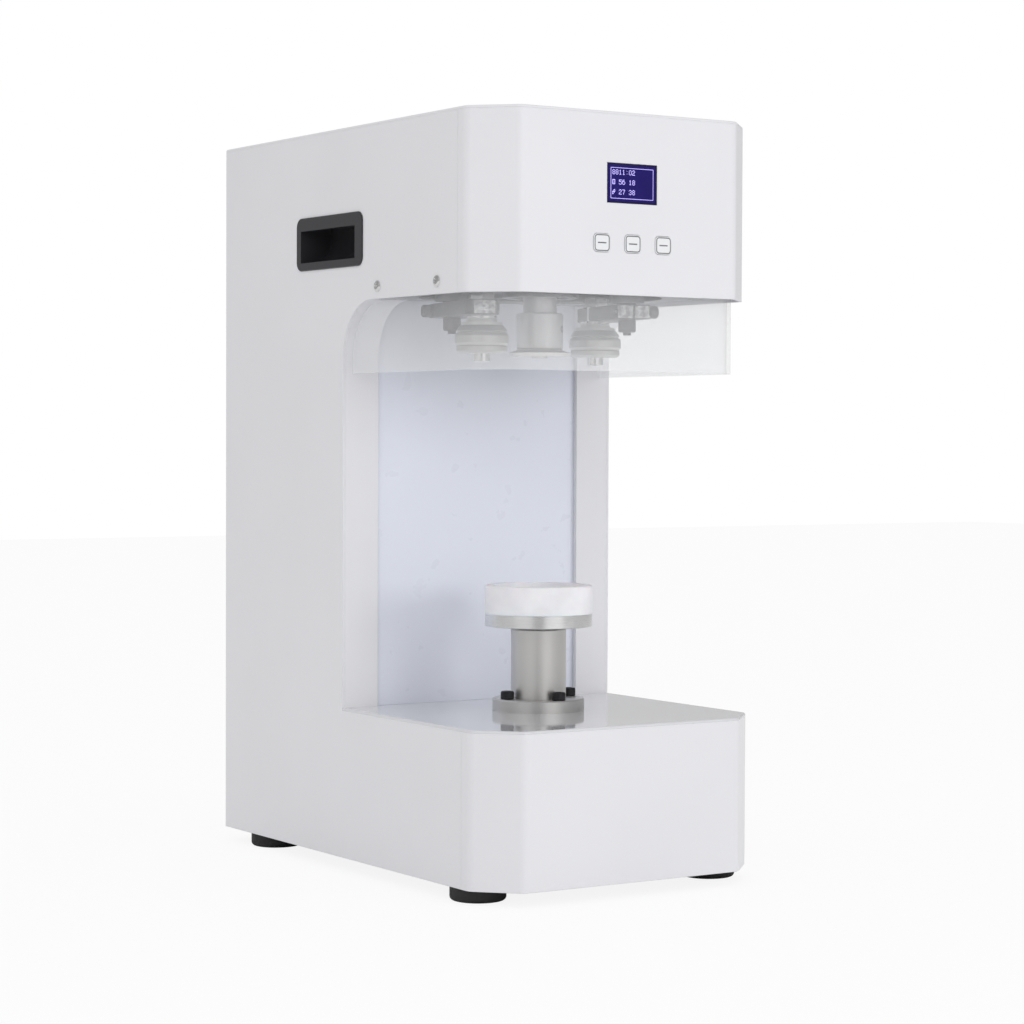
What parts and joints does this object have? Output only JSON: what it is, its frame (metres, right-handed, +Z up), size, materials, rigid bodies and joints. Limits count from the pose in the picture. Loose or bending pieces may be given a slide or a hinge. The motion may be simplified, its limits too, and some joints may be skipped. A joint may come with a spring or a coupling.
{
  "type": "can seamer",
  "caption": "Tabletop can seamer: C-shaped white casing with display and keys, clear guard, driven chuck between two swinging seaming rollers, and a lifting can tray.",
  "frame": {"origin": "on the table, under the middle of the machine's overall box", "axes": "+X to the right as one faces the machine's front, +Y from the front to the back, +Z up"},
  "size_m": [0.2432, 0.3992, 0.551],
  "materials": {
    "white_paint": "satin white powder coat",
    "throat_white": "gloss white, faintly blue",
    "grey_paint": "grey primer",
    "machined_steel": "milled",
    "turned_steel": "turned and polished",
    "roller_steel": "ground",
    "cam_steel": "hardened, black oxide",
    "bearing_steel": "ground",
    "spring_steel": "oiled",
    "aluminium": "turned",
    "nylon": "frosted white nylon",
    "clear_acrylic": "clear acrylic",
    "zinc_screw": "bright zinc",
    "black_screw": "black oxide",
    "black_plastic": "moulded",
    "rubber": "matt",
    "display": "blue liquid-crystal glass",
    "key_plastic": "white keys with a grey ring",
    "board": "green circuit board"
  },
  "bodies": {
    "casing": {"left_side_panel": "white_paint", "right_side_panel": "white_paint", "throat_bands": "white_paint", "head_front_cover": "white_paint", "base_front_cover": "white_paint", "top_cover": "white_paint", "base_deck": "white_paint", "rear_cover": "white_paint", "throat_back_panel": "throat_white", "head_underside_plate": "grey_paint", "bottom_plate": "grey_paint", "column_frame": "grey_paint", "lift_frame": "grey_paint", "head_plate": "machined_steel", "spindle_housing": "machined_steel", "pedestal": "turned_steel", "spindle_bearings": "bearing_steel", "return_springs": "spring_steel", "seam_gearmotor_right": "aluminium", "seam_gearmotor_left": "aluminium", "lift_gearmotor": "aluminium", "main_motor": "aluminium", "guard": "clear_acrylic", "guard_screws": "zinc_screw", "flange_screws": "black_screw", "handle_cup_left": "black_plastic", "handle_cup_right": "black_plastic", "power_inlet": "black_plastic", "rubber_feet": "rubber", "drive_belt": "rubber", "display_module": "display", "control_board": "board"},
    "spindle": {"spindle_shaft": "turned_steel", "spindle_pulley": "machined_steel", "chuck_holder": "turned_steel", "chuck": "turned_steel"},
    "motor_rotor": {"motor_rotor": "cam_steel"},
    "arm_right": {"roller_arm_right": "machined_steel", "arm_clamp_screw_right": "black_screw", "swing_shaft_right": "black_screw", "roller_pin_right": "roller_steel", "cam_lever_right": "machined_steel"},
    "arm_left": {"roller_arm_left": "machined_steel", "arm_clamp_screw_left": "black_screw", "swing_shaft_left": "black_screw", "roller_pin_left": "roller_steel", "cam_lever_left": "machined_steel"},
    "roller_right": {"seam_roller_right": "roller_steel"},
    "roller_left": {"seam_roller_left": "roller_steel"},
    "cam_right": {"seam_cam_right": "cam_steel"},
    "cam_left": {"seam_cam_left": "cam_steel"},
    "lift": {"lift_rod": "turned_steel", "tray_bearing": "bearing_steel"},
    "tray": {"can_tray": "aluminium", "can_cup": "nylon"},
    "lift_cam": {"lift_cam": "cam_steel"},
    "key_left": {"key_left": "key_plastic"},
    "key_middle": {"key_middle": "key_plastic"},
    "key_right": {"key_right": "key_plastic"},
    "rocker": {"power_rocker": "black_plastic"}
  },
  "joints": [
    {"name": "spindle_spin", "type": "hinge", "parent": "casing", "child": "spindle", "pos_m": [0, -0.076, 0.46], "axis": [0, 0, 1], "continuous": true},
    {"name": "motor_spin", "type": "hinge", "parent": "casing", "child": "motor_rotor", "pos_m": [0, 0.104, 0.46], "axis": [0, 0, 1], "continuous": true},
    {"name": "arm_right_swing", "type": "hinge", "parent": "casing", "child": "arm_right", "pos_m": [0.059, -0.104, 0.4105], "axis": [0, 0, 1], "range_deg": [0, 26]},
    {"name": "cam_right_turn", "type": "hinge", "parent": "casing", "child": "cam_right", "pos_m": [0.0537, -0.0549, 0.475], "axis": [0, 0, 1], "range_deg": [0, 150]},
    {"name": "roller_right_spin", "type": "hinge", "parent": "arm_right", "child": "roller_right", "pos_m": [0.06233, -0.05756, 0.3935], "axis": [0, 0, 1], "continuous": true},
    {"name": "arm_left_swing", "type": "hinge", "parent": "casing", "child": "arm_left", "pos_m": [-0.059, -0.048, 0.4105], "axis": [0, 0, 1], "range_deg": [0, 26]},
    {"name": "cam_left_turn", "type": "hinge", "parent": "casing", "child": "cam_left", "pos_m": [-0.0537, -0.0971, 0.475], "axis": [0, 0, 1], "range_deg": [0, 150]},
    {"name": "roller_left_spin", "type": "hinge", "parent": "arm_left", "child": "roller_left", "pos_m": [-0.06233, -0.09444, 0.3935], "axis": [0, 0, 1], "continuous": true},
    {"name": "tray_lift", "type": "slide", "parent": "casing", "child": "lift", "axis": [0, 0, 1], "range_m": [0, 0.014]},
    {"name": "lift_cam_turn", "type": "hinge", "parent": "casing", "child": "lift_cam", "pos_m": [0, -0.076, 0.05], "axis": [1, 0, 0], "range_deg": [0, 150]},
    {"name": "tray_spin", "type": "hinge", "parent": "lift", "child": "tray", "pos_m": [0, -0.076, 0.19], "axis": [0, 0, 1], "continuous": true},
    {"name": "key_left_press", "type": "slide", "parent": "casing", "child": "key_left", "axis": [0, 1, 0], "range_m": [0, 0.0005], "stiffness_N_per_m": 600},
    {"name": "key_middle_press", "type": "slide", "parent": "casing", "child": "key_middle", "axis": [0, 1, 0], "range_m": [0, 0.0005], "stiffness_N_per_m": 600},
    {"name": "key_right_press", "type": "slide", "parent": "casing", "child": "key_right", "axis": [0, 1, 0], "range_m": [0, 0.0005], "stiffness_N_per_m": 600},
    {"name": "rocker_tip", "type": "hinge", "parent": "casing", "child": "rocker", "pos_m": [-0.062, 0.19465, 0.091], "axis": [1, 0, 0], "range_deg": [0, 16]}
  ],
  "couplings": [
    {"joint": "motor_spin", "follows": "spindle_spin", "ratio": 2},
    {"joint": "cam_right_turn", "follows": "arm_right_swing", "ratio": 5.7692},
    {"joint": "cam_left_turn", "follows": "arm_left_swing", "ratio": 5.7692},
    {"joint": "lift_cam_turn", "follows": "tray_lift", "rad_per_m": 187}
  ]
}
